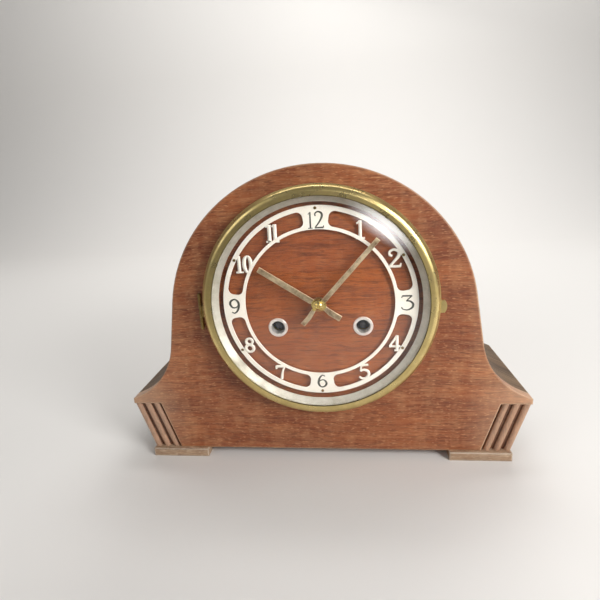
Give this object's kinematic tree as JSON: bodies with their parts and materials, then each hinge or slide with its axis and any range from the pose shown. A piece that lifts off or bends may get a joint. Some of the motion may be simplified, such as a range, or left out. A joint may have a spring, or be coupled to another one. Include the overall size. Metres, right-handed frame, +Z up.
{
  "type": "tambour mantel clock",
  "caption": "Tambour mantel clock in an oak case with a hinged brass bezel, pierced dial ring, pendulum movement, gong and rear door.",
  "frame": {"origin": "middle of the whole clock's footprint, on the shelf under the feet", "axes": "+X to the right of the dial, +Y from the dial to the back door, +Z up"},
  "size_m": [0.3084, 0.1284, 0.2255],
  "materials": {
    "oak_front": "satin oak veneer, red-brown",
    "oak_side": "dark worn oak veneer",
    "oak_feet": "worn pale oak",
    "inner_wood": "plain unfinished wood",
    "bezel_brass": "aged olive-gold brass",
    "hand_brass": "lacquered brass",
    "movement_brass": "brushed brass",
    "ring_cream": "cream silvered metal",
    "sight_silver": "satin silver",
    "eyelet_nickel": "bright nickel",
    "steel": "ground steel",
    "iron": "cast iron, painted",
    "clear_glass": "clear convex glass"
  },
  "bodies": {
    "case": {"front_board": "oak_front", "case_wrap": "oak_side", "end_rails": "oak_side", "base_board": "inner_wood", "back_board": "inner_wood", "door_hinge_frames": "bezel_brass", "turn_button_screw": "steel", "glue_blocks": "inner_wood", "foot_left": "oak_feet", "foot_right": "oak_feet", "reeded_block_left": "oak_front", "reeded_block_right": "oak_front", "chapter_ring": "ring_cream", "ring_pins": "eyelet_nickel", "eyelet_left": "eyelet_nickel", "eyelet_right": "eyelet_nickel", "bezel_hinge_case_leaf": "bezel_brass", "front_plate": "movement_brass", "back_plate": "movement_brass", "pillars": "movement_brass", "movement_posts": "steel", "plate_nuts": "steel", "back_cock": "movement_brass", "gong_block": "iron", "gong_rod": "steel"},
    "bezel": {"bezel_ring": "bezel_brass", "glass_lens": "clear_glass", "sight_ring": "sight_silver", "bezel_catch": "bezel_brass", "bezel_hinge_moving_leaf": "bezel_brass"},
    "door": {"back_door": "inner_wood", "door_hinge_leaves": "bezel_brass"},
    "button": {"turn_button": "inner_wood"},
    "minute": {"minute_hand": "hand_brass", "hand_collet": "hand_brass", "hand_nut": "hand_brass", "cannon_pinion": "movement_brass"},
    "hour": {"hour_hand": "hand_brass", "hour_wheel": "movement_brass"},
    "motion": {"minute_wheel": "movement_brass"},
    "centre": {"centre_wheel": "movement_brass"},
    "third": {"third_wheel": "movement_brass"},
    "escape": {"escape_wheel": "movement_brass"},
    "anchor": {"pallets": "steel"},
    "pendulum": {"suspension_spring": "steel", "pendulum_rod": "steel", "pendulum_bob": "movement_brass", "rating_nut": "movement_brass"},
    "going_drum": {"going_barrel": "movement_brass"},
    "strike_drum": {"strike_barrel": "movement_brass"},
    "going_winder": {"going_arbor": "steel", "going_ratchet": "steel"},
    "strike_winder": {"strike_arbor": "steel", "strike_ratchet": "steel"},
    "going_pawl": {"going_click": "steel"},
    "strike_pawl": {"strike_click": "steel"},
    "pins": {"pin_wheel": "movement_brass"},
    "warning": {"warning_wheel": "movement_brass"},
    "fan": {"fly": "movement_brass"},
    "striker": {"hammer": "steel"}
  },
  "joints": [
    {"name": "bezel_swing", "type": "hinge", "parent": "case", "child": "bezel", "pos_m": [-0.0887, -0.04657, 0.1243], "axis": [0, 0, -1], "range_deg": [0, 115]},
    {"name": "door_swing", "type": "hinge", "parent": "case", "child": "door", "pos_m": [0.06165, 0.06218, 0.092], "axis": [0, 0, -1], "range_deg": [0, 105]},
    {"name": "button_turn", "type": "hinge", "parent": "case", "child": "button", "pos_m": [-0.0685, 0.06103, 0.09], "axis": [0, 1, 0], "range_deg": [0, 90]},
    {"name": "minute_turn", "type": "hinge", "parent": "case", "child": "minute", "pos_m": [0, -0.04498, 0.1283], "axis": [0, 1, 0], "continuous": true},
    {"name": "hour_turn", "type": "hinge", "parent": "case", "child": "hour", "pos_m": [0, -0.04498, 0.1283], "axis": [0, 1, 0], "continuous": true},
    {"name": "motion_turn", "type": "hinge", "parent": "case", "child": "motion", "pos_m": [0, -0.02697, 0.1139], "axis": [0, 1, 0], "continuous": true},
    {"name": "centre_turn", "type": "hinge", "parent": "case", "child": "centre", "pos_m": [0, -0.02038, 0.1283], "axis": [0, 1, 0], "continuous": true},
    {"name": "third_turn", "type": "hinge", "parent": "case", "child": "third", "pos_m": [0.013, -0.02038, 0.14536], "axis": [0, 1, 0], "continuous": true},
    {"name": "escape_turn", "type": "hinge", "parent": "case", "child": "escape", "pos_m": [0, -0.02038, 0.15715], "axis": [0, 1, 0], "continuous": true},
    {"name": "anchor_rock", "type": "hinge", "parent": "case", "child": "anchor", "pos_m": [0, -0.02038, 0.17115], "axis": [0, 1, 0], "range_deg": [-2, 2]},
    {"name": "pendulum_swing", "type": "hinge", "parent": "case", "child": "pendulum", "pos_m": [0, 0.03173, 0.17115], "axis": [0, 1, 0], "range_deg": [-2, 2]},
    {"name": "going_drum_turn", "type": "hinge", "parent": "case", "child": "going_drum", "pos_m": [0.0312, -0.02038, 0.1103], "axis": [0, 1, 0], "continuous": true},
    {"name": "strike_drum_turn", "type": "hinge", "parent": "case", "child": "strike_drum", "pos_m": [-0.0312, -0.02038, 0.1103], "axis": [0, 1, 0], "continuous": true},
    {"name": "going_winding", "type": "hinge", "parent": "case", "child": "going_winder", "pos_m": [0.0312, -0.02038, 0.1103], "axis": [0, 1, 0], "continuous": true},
    {"name": "strike_winding", "type": "hinge", "parent": "case", "child": "strike_winder", "pos_m": [-0.0312, -0.02038, 0.1103], "axis": [0, 1, 0], "continuous": true},
    {"name": "going_click_lift", "type": "hinge", "parent": "case", "child": "going_pawl", "pos_m": [0.0202, -0.02448, 0.1208], "axis": [0, -1, 0], "range_deg": [0, 12]},
    {"name": "strike_click_lift", "type": "hinge", "parent": "case", "child": "strike_pawl", "pos_m": [-0.0422, -0.02448, 0.1208], "axis": [0, -1, 0], "range_deg": [0, 12]},
    {"name": "pins_turn", "type": "hinge", "parent": "case", "child": "pins", "pos_m": [-0.024, -0.02038, 0.14653], "axis": [0, 1, 0], "continuous": true},
    {"name": "warning_turn", "type": "hinge", "parent": "case", "child": "warning", "pos_m": [-0.0385, -0.02038, 0.15745], "axis": [0, 1, 0], "continuous": true},
    {"name": "fan_turn", "type": "hinge", "parent": "case", "child": "fan", "pos_m": [-0.0299, -0.02038, 0.16603], "axis": [0, 1, 0], "continuous": true},
    {"name": "striker_lift", "type": "hinge", "parent": "case", "child": "striker", "pos_m": [-0.049, -0.02038, 0.0783], "axis": [0, 1, 0], "range_deg": [0, 10]}
  ],
  "couplings": [
    {"joint": "hour_turn", "follows": "minute_turn", "ratio": 0.083333},
    {"joint": "motion_turn", "follows": "minute_turn", "ratio": -0.33333},
    {"joint": "centre_turn", "follows": "third_turn", "ratio": -0.083333},
    {"joint": "going_drum_turn", "follows": "third_turn", "ratio": 0.0069444},
    {"joint": "escape_turn", "follows": "third_turn", "ratio": -12},
    {"joint": "anchor_rock", "follows": "pendulum_swing", "ratio": 1},
    {"joint": "strike_drum_turn", "follows": "pins_turn", "ratio": -0.11111},
    {"joint": "warning_turn", "follows": "pins_turn", "ratio": -10},
    {"joint": "fan_turn", "follows": "pins_turn", "ratio": 80}
  ]
}
